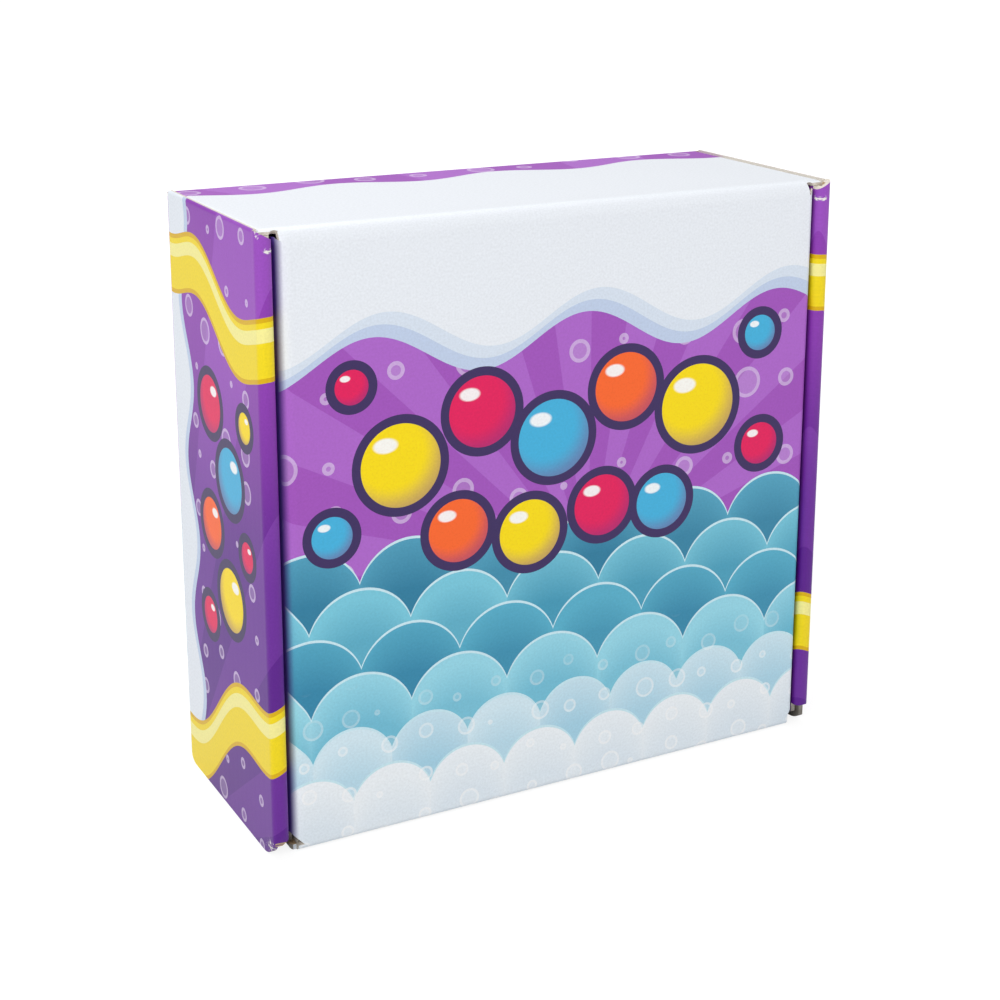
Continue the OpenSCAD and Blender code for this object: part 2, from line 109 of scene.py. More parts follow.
def new_material(name):
    """An empty node material, and its tree."""
    made = bpy.data.materials.new(name)
    made.use_nodes = True
    made.node_tree.nodes.clear()
    return made, made.node_tree


def end_material(tree, shader):
    """Links a finished shader to the material's output."""
    node(tree, "OutputMaterial", {"Surface": shader})


def principled(tree, inputs):
    """Ends a material with a principled surface."""
    end_material(tree, node(tree, "BsdfPrincipled", inputs))


def plain_liner(name, dark, light, roughness):
    """Unprinted paper on the board: dull and fibrous, with the flutes just telling through it."""
    fibre_width, fibre_length, cloud_size = 0.25 * mm, 2.5 * mm, 9 * mm
    cloud_share, ridge_share = 0.35, 0.5
    made, t = new_material(name)
    place = node(t, "Attribute", out="Vector", attribute_name="sheet")
    across = node(t, "SeparateXYZ", {0: place})
    fibre_place = node(t, "Mapping", {"Vector": place,
                                      "Scale": (1 / fibre_width, 1 / fibre_length, 1)})
    fibres = noise(t, fibre_place, 1.0, 3.0)
    clouds = noise(t, place, 1 / cloud_size, 2.0)
    shade = calc(t, "MULTIPLY_ADD", clouds, cloud_share, fibres)
    paper = mix(t, ramp(t, shade, 0.4, 0.95), dark, light)
    wave = calc(t, "MULTIPLY", across, 2 * math.pi / flute_pitch)
    relief = calc(t, "MULTIPLY_ADD", calc(t, "SINE", wave), ridge_share, fibres)
    principled(t, {"Base Color": paper, "Roughness": roughness, "Specular IOR Level": 0.25,
                   "Normal": bump(t, relief, 0.25, 0.06 * mm)})
    return made


# Kraft liner: unbleached brown paper, matt, with long fibres.
kraft_liner = plain_liner("kraft_liner", "#B79970", "#DBC29D", 0.88)

# Cut board: raw paper edges and the walls of the flutes, loose-fibred and greyed by the knife.
# Low down at the carton's sides it is darkened, partly as soil and partly as painted shade.
fuzz_size = 0.35 * mm
soil_and_shade_inner, soil_and_shade_outer = 76 * mm, 78 * mm
soil_and_shade_low, soil_and_shade_high = 3 * mm, 9 * mm
soiled_and_shaded_value = 0.3
cut_board, t = new_material("cut_board")
place = node(t, "TexCoord", out="Object")
fuzz = noise(t, place, 1 / fuzz_size, 4.0)
paper = mix(t, fuzz, "#C6BDAF", "#F4EFE6")
across = calc(t, "ABSOLUTE", node(t, "SeparateXYZ", {0: place}, out="X"))
aside = ramp(t, across, soil_and_shade_inner, soil_and_shade_outer)
height = node(t, "SeparateXYZ", {0: place}, out="Z")
# Painted shade and soil: the raw board is made darker low down at the carton's sides.
soil_and_shade = ramp(t, height, soil_and_shade_high, soil_and_shade_low, 0.0, aside)
clean_and_lit = ramp(t, soil_and_shade, 0.0, 1.0, 1.0, soiled_and_shaded_value)
paper = node(t, "HueSaturation", {"Color": paper, "Value": clean_and_lit})
principled(t, {"Base Color": paper, "Roughness": 0.95, "Specular IOR Level": 0.15,
               "Normal": bump(t, fuzz, 0.5, 0.1 * mm)})

# Print
# White-top paper, offset-printed with a bubble design in flat inks and varnished before it is glued
# to the board. It is laid out in mm on the flat sheet: under-flap, lid, top and back in one strip.
low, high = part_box("lid_panel")
lid_half = high.x
lid_front = low.y
top_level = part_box("rear_wall")[1].z
back_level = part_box("base_panel")[1].y
flap_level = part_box("front_flap")[0].z
sheet_top = top_level / mm
sheet_back = sheet_top + (back_level - lid_front) / mm
lid_edge = lid_half / mm
fold_line = flap_level / mm
back_edge = 84
yellow, magenta, orange, sky = "#FFE000", "#E8175D", "#FF6A2B", "#45B4E0"
outline = "#3B2A5E"


def distance(t, place, u, v):
    """How far each place of the sheet is from one point of it."""
    return node(t, "VectorMath", {0: place, 1: (u, v, 0)}, out="Value", operation="DISTANCE")


def balls(t, place, paint, spots):
    """Paints glossy balls with dark outlines, each given as its middle, radius and colour."""
    line, squash = 2.4, 1.7
    from_middle = [distance(t, place, u, v) for u, v, _, _ in spots]
    for (_, _, r, _), away in zip(spots, from_middle):
        paint = mix(t, calc(t, "LESS_THAN", away, r + line), paint, outline)
    for (u, v, r, code), away in zip(spots, from_middle):
        body = calc(t, "LESS_THAN", away, r)
        paint = mix(t, body, paint, code)
        lit = distance(t, place, u - 0.22 * r, v + 0.3 * r)
        dusk = ramp(t, lit, 0.75 * r, 1.4 * r, 0.0, 0.5, interpolation_type="SMOOTHSTEP")
        paint = mix(t, calc(t, "MULTIPLY", dusk, body), paint, "#7A2A7E")
        gloss_u, gloss_v = u - 0.38 * r, v + 0.52 * r
        squeeze = node(t, "Mapping", {"Vector": place, "Scale": (1, squash, 1),
                                      "Location": (-gloss_u, -squash * gloss_v, 0)})
        gloss = node(t, "VectorMath", {0: squeeze}, out="Value", operation="LENGTH")
        gloss = ramp(t, gloss, 0.26 * r, 0.34 * r, 0.92, 0.0)
        paint = mix(t, gloss, paint, (1, 1, 1, 1))
    return paint


def rings(t, place, paint, spacing, code, strength):
    """Paints thin bubble rings of mixed sizes, about one for each square of the spacing."""
    smallest, largest, half_line, inner_share = 0.03, 0.24, 0.03, 0.3
    cells = node(t, "VectorMath", {0: place, "Scale": 1 / spacing}, operation="SCALE")
    away, chance = (node(t, "TexVoronoi", {"Vector": cells, "Scale": 1.0, "Randomness": 0.45},
                         out=found, voronoi_dimensions="2D") for found in ("Distance", "Color"))
    size = ramp(t, node(t, "SeparateColor", {0: chance}), 0.0, 1.0, smallest, largest)
    ring = calc(t, "COMPARE", away, size, half_line)
    inner = calc(t, "LESS_THAN", away, size)
    cover = calc(t, "MULTIPLY_ADD", inner, inner_share, ring, use_clamp=True)
    return mix(t, calc(t, "MULTIPLY", cover, strength), paint, code)


def wavy(t, u, level, height, length, phase):
    """A wave's edge over the sheet: level, half height, length and phase."""
    turn = calc(t, "MULTIPLY_ADD", u, 2 * math.pi / length, phase)
    return calc(t, "MULTIPLY_ADD", calc(t, "SINE", turn), height, level)


def scales(t, u, level, width, start):
    """The upper edge of a row of round scales, given the row's level, each scale's width and the
    row's start in widths, and a chance value for each scale."""
    radius = 0.53 * width
    turn = calc(t, "MULTIPLY_ADD", u, 1 / width, start)
    off = calc(t, "MULTIPLY_ADD", calc(t, "FRACT", turn), width, -0.5 * width)
    fall = calc(t, "MULTIPLY", off, off)
    rise = calc(t, "SQRT", calc(t, "SUBTRACT", radius ** 2, fall))
    which = calc(t, "ADD", calc(t, "FLOOR", turn), level)
    chance = node(t, "TexWhiteNoise", {"W": which}, noise_dimensions="1D")
    return calc(t, "ADD", rise, level), chance


def rays(t, u, v, middle, dark, light):
    """Two close tones in rays about a point of the sheet."""
    ray_count = 20.0
    ahead = calc(t, "SUBTRACT", u, middle[0])
    up = calc(t, "SUBTRACT", v, middle[1])
    turn = calc(t, "MULTIPLY", calc(t, "ARCTAN2", up, ahead), ray_count)
    stripe = calc(t, "GREATER_THAN", calc(t, "SINE", turn), 0.0)
    return mix(t, stripe, dark, light)


def strip_art(t, place, u, v):
    """The design of the strip from the under-flap over the lid and the top to the back: rays and
    rings, a pale drift over the top, rows of scales with froth, and balls, with painted violet
    shade along the lid's side edges where they turn into the gaps beside the rolled walls."""
    paint = rays(t, u, v, (8, 62), "#A455BE", "#B068CC")
    paint = rings(t, place, paint, 17, "#E9D8F4", 0.5)
    before_back = calc(t, "LESS_THAN", v, wavy(t, u, sheet_back - 12, 3, 48, 0.5))
    for level, phase, code in ((128, 0.9, "#C4D3EC"), (131, 0.7, "#DCE6F3"),
                               (134, 0.5, "#EEF2F8")):
        above = calc(t, "GREATER_THAN", v, wavy(t, u, level, 6, 61, phase))
        paint = mix(t, calc(t, "MULTIPLY", above, before_back), paint, code)
    on_back = calc(t, "MULTIPLY_ADD", v, -1.0, sheet_back + sheet_top)
    rise = calc(t, "MINIMUM", v, on_back)
    for level, width, start, light, dark in (
            (66, 28, 0.1, "#58A9C6", "#2C7D9F"), (54.5, 28, 0.6, "#7CCBDF", "#4199B8"),
            (43, 28, 0.1, "#5AB2CD", "#2F84A8"), (31.5, 28, 0.6, "#9ADAEA", "#5FB3CF"),
            (20, 22, 0.3, "#D8EDF6", "#A9D5E8"), (8, 22, 0.8, "#F4F8FB", "#DFEAF3")):
        edge, chance = scales(t, u, level, width, start)
        depth = calc(t, "SUBTRACT", edge, rise)
        fade = ramp(t, depth, 0.0, 14.0, 0.25, 1.0)
        tone = calc(t, "MULTIPLY_ADD", chance, -0.5, fade, use_clamp=True)
        water = mix(t, tone, light, dark)
        for reach, ink in ((0.0, "#CDEBF4"), (0.7, water)):
            paint = mix(t, calc(t, "GREATER_THAN", depth, reach), paint, ink)
    froth = rings(t, place, paint, 11, "#FFFFFF", 0.55)
    paint = mix(t, ramp(t, rise, 44.0, 20.0), paint, froth)
    paint = balls(t, place, paint, (
        (-47, 100, 11, yellow), (-24, 111, 9.5, magenta), (-3, 101, 10.5, sky),
        (19, 112, 9.5, orange), (42, 104, 11.5, yellow), (-31, 80, 8.5, orange),
        (-10, 76, 9, yellow), (12, 80, 8.5, magenta), (31, 78, 8, sky), (63, 90, 6, magenta),
        (-66, 84, 5.5, sky), (-60, 122, 4.5, magenta), (62, 122, 5, sky)))
    # Painted shade: the lid's side edges are darkened to violet where they curve into the gaps
    # beside the rolled walls.
    gap_shade_shift, gap_shade_start, gap_shade_end, under_top = 0.9, -0.6, 2.6, 1.5
    edge = calc(t, "ABSOLUTE", calc(t, "SUBTRACT", u, gap_shade_shift))
    gap_shade = ramp(t, edge, lid_edge + gap_shade_start, lid_edge + gap_shade_end)
    on_lid = calc(t, "LESS_THAN", v, sheet_top - under_top)
    gap_shade_violet = mix(t, noise(t, place, 0.12, 3.0), "#4C3884", "#5C4898")
    return mix(t, calc(t, "MULTIPLY", gap_shade, on_lid), paint, gap_shade_violet)


def printed_liner(name, art, folds, scuffs):
    """Varnished print on white-top paper: even inks with a fine paper grain, a satin gloss that
    picks up the flutes, ink a little stretched along the folds, and white fibres where corners
    have been knocked."""
    fold_reach, fold_wear, knock_wear = 0.9, 0.16, 0.4
    ridge_share, dent_share = 0.12, 6.0
    made, t = new_material(name)
    metres = node(t, "Attribute", out="Vector", attribute_name="sheet")
    place = node(t, "VectorMath", {0: metres, "Scale": 1 / mm}, operation="SCALE")
    u = node(t, "SeparateXYZ", {0: place}, out="X")
    v = node(t, "SeparateXYZ", {0: place}, out="Y")
    paint = art(t, place, u, v)
    grain = noise(t, place, 1.6, 3.0)
    speck = ramp(t, grain, 0.3, 0.7, 0.95, 1.05)
    paint = node(t, "HueSaturation", {"Color": paint, "Value": speck})
    near = None
    for line, at in folds:
        gap = calc(t, "ABSOLUTE", calc(t, "SUBTRACT", {"u": u, "v": v}[line], at))
        near = gap if near is None else calc(t, "MINIMUM", near, gap)
    wear = ramp(t, near, 0.0, fold_reach, fold_wear, 0.0)
    for at_u, at_v, reach in scuffs:
        knock = ramp(t, distance(t, place, at_u, at_v), 0.0, reach, knock_wear, 0.0)
        wear = calc(t, "MAXIMUM", wear, knock)
    chips = node(t, "TexNoise", {"Vector": place, "Scale": 0.8, "Detail": 5.0, "Roughness": 0.75})
    chips = ramp(t, calc(t, "ADD", chips, wear), 0.82, 0.9)
    paint = mix(t, chips, paint, "#F3F0EA")
    wave = calc(t, "MULTIPLY", u, 2 * math.pi * mm / flute_pitch)
    relief = calc(t, "MULTIPLY_ADD", calc(t, "SINE", wave), ridge_share, grain)
    relief = calc(t, "MULTIPLY_ADD", noise(t, place, 0.05, 2.0), dent_share, relief)
    principled(t, {"Base Color": paint, "Roughness": 0.45, "Specular IOR Level": 0.25,
                   "Coat Weight": 0.06, "Coat Roughness": 0.3,
                   "Normal": bump(t, relief, 0.3, 0.08 * mm)})
    return made


printed_strip = printed_liner(
    "printed_strip", strip_art,
    folds=(("u", -lid_edge), ("u", lid_edge), ("v", fold_line), ("v", sheet_top),
           ("v", sheet_back)),
    scuffs=((-lid_edge, sheet_top, 4), (lid_edge, sheet_top, 3), (-lid_edge, fold_line, 4),
            (lid_edge, fold_line, 4), (-back_edge, sheet_back, 5), (back_edge, sheet_back, 5)))

# Base panel
# The back of the carton, folded up into all four walls. Its four slots hold the locking tabs of the
# side walls.
same_point = 0.001 * mm
flat_angle = math.radians(0.5)
smooth_angle = math.radians(35)
as_x, as_y, as_z = (1, 0, 0, 0), (0, 1, 0, 0), (0, 0, 1, 0)


def pick(*pieces):
    """Selects these objects alone, with the first of them active."""
    bpy.ops.object.select_all(action="DESELECT")
    for piece in pieces:
        piece.select_set(True)
    bpy.context.view_layer.objects.active = pieces[0]


def edit(piece, *steps):
    """Runs mesh operators with their settings, one after another, on the whole of a piece."""
    pick(piece)
    bpy.ops.object.mode_set(mode="EDIT")
    for operator, settings in steps:
        bpy.ops.mesh.select_all(action="SELECT")
        operator(**settings)
    bpy.ops.object.mode_set(mode="OBJECT")


def panel(name, outside, outer_liner, inner_liner=kraft_liner):
    """A merged copy of a panel's solid, with its outer liner, inner liner and cut edges told
    apart."""
    outward, inward = 0.05, -0.9
    piece = bpy.data.objects.new(name + "_board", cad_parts[name].data.copy())
    bpy.context.collection.objects.link(piece)
    edit(piece, (bpy.ops.mesh.remove_doubles, {"threshold": same_point}),
         (bpy.ops.mesh.dissolve_limited, {"angle_limit": flat_angle}))
    bpy.ops.mesh.customdata_custom_splitnormals_clear()
    piece.data.materials.clear()
    papers = list(dict.fromkeys((outer_liner, inner_liner, cut_board)))
    for paper in papers:
        piece.data.materials.append(paper)
    for face in piece.data.polygons:
        facing = face.normal.dot(outside)
        paper = outer_liner if facing > outward else inner_liner if facing < inward else cut_board
        face.material_index = papers.index(paper)
    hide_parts(name)
    return piece


def lay_out(piece, across, along):
    """Keeps each point's place on the flat sheet in the attribute "sheet": across and along the
    flutes, each as the weights of X, Y and Z and a start."""
    points = np.array([[*vertex.co, 1.0] for vertex in piece.data.vertices])
    flat = np.stack([points @ np.array(across), points @ np.array(along), np.zeros(len(points))], 1)
    sheet = piece.data.attributes.new("sheet", "FLOAT_VECTOR", "POINT")
    sheet.data.foreach_set("vector", flat.ravel())
    pick(piece)
    bpy.ops.object.shade_smooth_by_angle(angle=smooth_angle)


base_panel = panel("base_panel", (0, 1, 0), printed_strip)
lay_out(base_panel, as_x, (0, 0, -1, back_level - lid_front + 2 * top_level))
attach(base_panel, "tray")

# Rear wall
# The top of the standing carton, folded from the same sheet as the lid and the back. Between the
# relief holes it stops where the lid's soft fold begins.
lid_fold_radius = 4 * mm
lid_fold_half = 77.3 * mm
near_point = 0.01 * mm


def apply_modifier(piece, kind, **settings):
    """Adds a modifier with its settings and applies it."""
    pick(piece)
    modifier = piece.modifiers.new(kind.lower(), kind)
    for name, value in settings.items():
        setattr(modifier, name, value)
    bpy.ops.object.modifier_apply(modifier=modifier.name)


def cut_away(piece, cutter):
    """Cuts one closed shape out of a piece, leaving raw board, and clears the cutter away."""
    if not cutter.data.materials:
        cutter.data.materials.append(cut_board)
    apply_modifier(piece, "BOOLEAN", operation="DIFFERENCE", object=cutter, solver="MANIFOLD",
                   material_mode="TRANSFER")
    bpy.data.objects.remove(cutter)


def add_shape(operator, **settings):
    """Adds a plain mesh shape, which is then selected alone."""
    bpy.ops.object.select_all(action="DESELECT")
    operator(**settings)
    return bpy.context.object


def block(low, high):
    """A plain block between two corners, to cut with."""
    low, high = Vector(low), Vector(high)
    made = add_shape(bpy.ops.mesh.primitive_cube_add, size=1, location=(low + high) / 2,
                     scale=high - low)
    bpy.ops.object.transform_apply(location=True, rotation=True, scale=True)
    return made


def weld(piece):
    """Merges the near-double points that cuts leave in a piece, and the slivers between them."""
    edit(piece, (bpy.ops.mesh.remove_doubles, {"threshold": near_point}),
         (bpy.ops.mesh.dissolve_degenerate, {"threshold": near_point}))


rear_wall = panel("rear_wall", (0, 0, 1), printed_strip)
cut_away(rear_wall, block((-lid_fold_half, lid_front - lid_fold_radius, top_level - 3 * board),
                          (lid_fold_half, lid_front + lid_fold_radius, top_level + 3 * board)))
weld(rear_wall)
strip_along = (0, 1, 1, -lid_front)
lay_out(rear_wall, as_x, strip_along)
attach(rear_wall, "tray")

# Its free edge and its two ear slots show the flutes.
past_edge = 2 * mm
fold_margin = 3 * mm


def pick_edges(piece, wanted):
    """Opens a piece in edit mode with only those edges selected whose two ends pass the test."""
    pick(piece)
    bpy.ops.object.mode_set(mode="EDIT")
    bpy.ops.mesh.select_mode(type="EDGE")
    bpy.ops.mesh.select_all(action="DESELECT")
    bpy.ops.object.mode_set(mode="OBJECT")
    for edge in piece.data.edges:
        edge.select = wanted(*(piece.data.vertices[i].co for i in edge.vertices))
    bpy.ops.object.mode_set(mode="EDIT")


def set_mesh(piece, matrix):
    """Moves the mesh of the selected shape by a matrix."""
    piece.matrix_world = matrix
    bpy.ops.object.transform_apply(location=True, rotation=True, scale=True)


def flute(piece, along, low_end, high_end):
    """Cuts the flutes' hollows through a board along one axis, in two rows of rounded three-sided
    tunnels that leave the liners and the wavy paper. The ends reach past the board or stop in
    it."""
    half_width, half_depth, off_middle = 0.46 * flute_pitch, 0.39 * board, 0.148 * board
    rounding = 0.22
    points = np.array([vertex.co for vertex in piece.data.vertices])
    low, high = Vector(points.min(0)), Vector(points.max(0))
    thin = min(range(3), key=lambda axis: high[axis] - low[axis])
    across = 3 - along - thin
    step = Vector()
    step[across] = flute_pitch
    count = int((high[across] - low[across]) / flute_pitch) - 1
    rows = []
    for side, first in ((1, 1), (-1, 1.5)):
        row = add_shape(bpy.ops.mesh.primitive_cylinder_add, vertices=3, radius=1, depth=1)
        pick_edges(row, lambda a, b: abs(a.z - b.z) > 0.5)
        bpy.ops.mesh.bevel(offset=rounding, segments=2, affect="EDGES")
        bpy.ops.object.mode_set(mode="OBJECT")
        axes = [Vector(), Vector(), Vector()]
        axes[0][across] = half_width
        axes[1][thin] = side * half_depth
        axes[2][along] = high[along] + high_end - low[along] + low_end
        start = (low + high) / 2
        start[across] = low[across] + flute_pitch * first
        start[thin] -= side * off_middle
        start[along] = (high[along] + high_end + low[along] - low_end) / 2
        set_mesh(row, Matrix.Translation(start) @ Matrix(axes).transposed().to_4x4())
        edit(row, (bpy.ops.mesh.normals_make_consistent, {"inside": False}))
        row.data.materials.append(cut_board)
        apply_modifier(row, "ARRAY", count=count, use_relative_offset=False,
                       use_constant_offset=True, constant_offset_displace=step)
        rows.append(row)
    pick(*rows)
    bpy.ops.object.join()
    cut_away(piece, rows[0])


front_wall = panel("front_wall", (0, 0, -1), kraft_liner)
flute(front_wall, 1, past_edge, -fold_margin)
lay_out(front_wall, as_x, as_y)
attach(front_wall, "tray")

# Side walls
# Each is one length of board that runs up from the back, rolls over in a channel beside the lid and
# comes back inside as a second layer, whose tabs lock in the base. The print goes over the roll.
hands = (("left", -1), ("right", 1))
side_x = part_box("right_outer_wall")[1].x
side_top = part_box("right_outer_wall")[1].z
roll_inside, roll_front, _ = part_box("right_roll_edge")[0]
roll_corner = roll_front / mm
side_back = back_level / mm
side_high = side_top / mm
print_bleed = 9 * mm
snipped_toe = 6.5 * mm
edge_round = 0.8 * mm
layer = 0.9 * board
outer_paper, inner_paper, raw_paper = range(3)
end_tilt, side_tilt, straight_down, facing_in = 0.3, 0.2, -0.99, -0.9


def side_art(t, place, u, v):
    """The design of a side wall: a pale wavy edge at the back, and yellow bands over purple rays,
    with a column of balls."""
    ray_middle, ring_margin, band_rim = (60, -40), 4, 1.2
    bright = rays(t, u, v, ray_middle, "#8F3CB2", "#9C4EC0")
    deep = rays(t, u, v, ray_middle, "#5C188C", "#6C2A9A")
    fade = ramp(t, v, 65.0, 135.0, interpolation_type="SMOOTHSTEP")
    ground = mix(t, fade, deep, bright)
    paint = rings(t, place, ground, 13, "#E9D8F4", 0.6)
    paint = mix(t, calc(t, "GREATER_THAN", u, roll_corner + ring_margin), ground, paint)
    for level, code in ((20, "#C4D3EC"), (22.5, "#E9EFF7")):
        behind = calc(t, "GREATER_THAN", u, wavy(t, v, level, 3.5, 44, 1.0))
        paint = mix(t, behind, paint, code)
    for level, slope, height, length, phase, half in ((140, 0.25, 4, 50, 0.4, 8),
                                                      (22, -0.45, 5, 56, 2.4, 9)):
        middle = calc(t, "MULTIPLY_ADD", u, slope, wavy(t, u, level, height, length, phase))
        off = calc(t, "SUBTRACT", v, middle)
        away = calc(t, "ABSOLUTE", off)
        for reach, code in ((half, "#E0B400"), (half - band_rim, "#F7DC14")):
            paint = mix(t, calc(t, "LESS_THAN", away, reach), paint, code)
        shine = calc(t, "COMPARE", off, 0.45 * half, 0.22 * half)
        paint = mix(t, shine, paint, "#FBF29A")
    return balls(t, place, paint, (
        (4, 112, 7.5, magenta), (-9, 95, 8.5, sky), (6, 79, 7, orange), (-7, 62, 8.5, yellow),
        (10, 52, 5, magenta), (-21, 112, 4, yellow), (-20, 78, 4, magenta)))


def slice_off(piece, place, away):
    """Cuts a piece through with a plane, takes off the side it points to and closes the cut."""
    edit(piece, (bpy.ops.mesh.bisect, {"plane_co": place, "plane_no": away, "use_fill": True,
                                       "clear_outer": True, "threshold": same_point}))


def score(piece, place, across):
    """Divides a piece's faces along a plane, and leaves both sides."""
    edit(piece, (bpy.ops.mesh.bisect, {"plane_co": place, "plane_no": across,
                                       "threshold": same_point}))


printed_side = printed_liner(
    "printed_side", side_art,
    folds=(("u", roll_corner), ("u", roll_corner - (side_x - roll_inside) / mm), ("u", side_back)),
    scuffs=((roll_corner, side_high, 5), (roll_corner - 3, side_high - 5, 3),
            (roll_corner + 3, 3, 6), (side_back, 2, 5), (side_back, side_high, 5)))
for hand, out in hands:
    outer_wall = panel(hand + "_outer_wall", (out, 0, 0), printed_side, cut_board)
    flute(outer_wall, 2, past_edge, -fold_margin)
    pick_edges(outer_wall, lambda a, b: min(a.z, b.z) > side_top - near_point
               and min(out * a.x, out * b.x) > side_x - near_point)
    bpy.ops.mesh.bevel(offset=edge_round, segments=4, affect="EDGES", material=outer_paper)
    bpy.ops.object.mode_set(mode="OBJECT")
    roll_edge = panel(hand + "_roll_edge", (out, 0, 0), printed_side)
    if hand == "right":
        slice_off(roll_edge, (0, 0, snipped_toe), (0, 0, -1))
    for face in roll_edge.data.polygons:
        slanted = abs(face.normal.z) > end_tilt and abs(face.normal.x) > side_tilt
        cut_end = slanted or face.normal.z < straight_down
        in_channel = (roll_inside + layer < abs(face.center.x) < side_x - layer
                      and face.center.y > roll_front + board / 2)
        face.material_index = (raw_paper if cut_end else
                               inner_paper if in_channel else outer_paper)
    for piece in (outer_wall, roll_edge):
        lay_out(piece, (out, 1, 0, -side_x), as_z)
        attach(piece, "tray")
    inner_wall = panel(hand + "_inner_wall", (out, 0, 0), printed_side)
    flute(inner_wall, 2, past_edge, past_edge)
    score(inner_wall, (0, roll_front + print_bleed, 0), (0, 1, 0))
    for face in inner_wall.data.polygons:
        if face.material_index != raw_paper:
            bled = out * face.normal.x < facing_in and face.center.y < roll_front + print_bleed
            face.material_index = outer_paper if bled else inner_paper
    lay_out(inner_wall, (out, 1, 0, -side_x), as_z)
    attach(inner_wall, "tray")

# Corner flaps
# Four plain flaps of the same board, on creases of the rear and front walls. They are folded in
# between the two layers of the side walls, which hold them.
for name in ("rear_left", "rear_right", "front_left", "front_right"):
    corner_flap = panel(name + "_corner_flap", (1, 0, 0), kraft_liner)
    lay_out(corner_flap, as_y, as_z)
    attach(corner_flap, "tray")

# Lid
# The large printed face. It hangs on the rear wall by a soft crease and carries the flap at its
# lower edge, and the wings at its sides. It stops where these folds begin.
flap_fold_radius = 1.7 * mm
lip_radius = {"left": 3.6 * mm, "right": 1.6 * mm}
in_flat = 0.004 * mm
lid_panel = panel("lid_panel", (0, -1, 0), printed_strip)
for place, away in (((0, 0, top_level - lid_fold_radius - in_flat), (0, 0, 1)),
                    ((0, 0, flap_level + flap_fold_radius + in_flat), (0, 0, -1)),
                    ((lid_half - lip_radius["right"], 0, 0), (1, 0, 0)),
                    ((lip_radius["left"] - lid_half, 0, 0), (-1, 0, 0))):
    slice_off(lid_panel, place, away)
weld(lid_panel)
lay_out(lid_panel, as_x, strip_along)
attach(lid_panel, "lid")

# Wings
# Dust flaps of the same board at the lid's sides, folded in behind the rolled edges. Their slanted
# ends are cut, and show the flutes.
for hand, out in hands:
    wing = panel(hand + "_wing", (out, 0, 0), printed_strip)
    slice_off(wing, (0, lid_front + lip_radius[hand], 0), (0, -1, 0))
    flute(wing, 2, past_edge, past_edge)
    lay_out(wing, (1, out, 0, -out * lid_front), as_z)
    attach(wing, hand + "_wing")

# Front flap and ears
# The flap under the carton that the lid tucks it shut with, and its two ears, folded up at right
# angles, which pass through the front wall's slots beside the wings.
flap_along = (0, -1, 1, lid_front)
front_flap = panel("front_flap", (0, 0, -1), printed_strip)
slice_off(front_flap, (0, lid_front + flap_fold_radius + in_flat, 0), (0, -1, 0))
flute(front_flap, 1, -fold_margin, past_edge)
lay_out(front_flap, as_x, flap_along)
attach(front_flap, "front_flap")
for hand, out in hands:
    ear = panel(hand + "_ear", (out, 0, 0), printed_strip)
    flute(ear, 1, past_edge, past_edge)
    lay_out(ear, (0, 0, out, out * lid_half), flap_along)
    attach(ear, "front_flap")

# Creases
# Crushed strips of the same board that bend where two panels meet: the lid's soft fold at the top,
# the crisper fold of its flap, and the round edges at its sides, which run on as the wings' folds.
flap_fold_half = lid_half - 1.6 * mm
end_steps = 6
wing_low, wing_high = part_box("left_wing")
wall_low, wall_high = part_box("front_wall")
wall_gap = 0.1 * mm
lip_rise = 2 * mm
slant_rise, slant_slope = 5 * mm, 2.5
ahead, above, below = Vector((0, -1, 0)), Vector((0, 0, 1)), Vector((0, 0, -1))


def crease(name, ends, first, last, radius):
    """A quarter-round strip of board about the line between two points, from one direction to
    another."""
    facing_limit = 0.5
    start, end, first, last = (Vector(v) for v in (*ends, first, last))
    middle = (start + end) / 2
    strip = add_shape(bpy.ops.mesh.primitive_plane_add, size=1)
    strip.name = name
    set_mesh(strip, Matrix.Translation(middle + first * (radius - board / 2)) @ Matrix((
        end - start, board * first, last)).transposed().to_4x4())
    edit(strip, (bpy.ops.mesh.spin, {"steps": 12, "angle": math.pi / 2, "center": middle,
                                     "axis": -first.cross(last)}),
         (bpy.ops.mesh.remove_doubles, {"threshold": same_point}),
         (bpy.ops.mesh.normals_make_consistent, {"inside": False}))
    for liner in (printed_strip, kraft_liner, cut_board):
        strip.data.materials.append(liner)
    along = (end - start).normalized()
    for face in strip.data.polygons:
        spoke = face.center - middle
        spoke -= along * spoke.dot(along)
        facing = face.normal.dot(spoke.normalized())
        face.material_index = (outer_paper if facing > facing_limit else
                               inner_paper if facing < -facing_limit else raw_paper)
    return strip


axis_y, axis_z = lid_front + lid_fold_radius, top_level - lid_fold_radius
lid_fold = crease("lid_fold", ((-lid_fold_half, axis_y, axis_z), (lid_fold_half, axis_y, axis_z)),
                  above, ahead, lid_fold_radius)
for hand, out in hands:
    for across in np.linspace(lid_half - lip_radius[hand], lid_fold_half, end_steps)[:-1]:
        score(lid_fold, (out * across, 0, 0), (1, 0, 0))
for vertex in lid_fold.data.vertices:
    radius = lip_radius["left" if vertex.co.x < 0 else "right"]
    past = max(abs(vertex.co.x) - lid_half + radius, 0)
    sink = radius - math.sqrt(radius ** 2 - past ** 2)
    spoke = Vector((0, vertex.co.y - axis_y, vertex.co.z - axis_z)).normalized()
    vertex.co -= spoke * sink * max(-spoke.y, 0)
lay_out(lid_fold, as_x, strip_along)
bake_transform(lid_fold)
axis_y, axis_z = lid_front + flap_fold_radius, flap_level + flap_fold_radius
flap_fold = crease("flap_fold", ((-flap_fold_half, axis_y, axis_z),
                                 (flap_fold_half, axis_y, axis_z)),
                   ahead, below, flap_fold_radius)
lay_out(flap_fold, as_x, flap_along)
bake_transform(flap_fold)
lip_low, lip_top = axis_z, top_level - lid_fold_radius
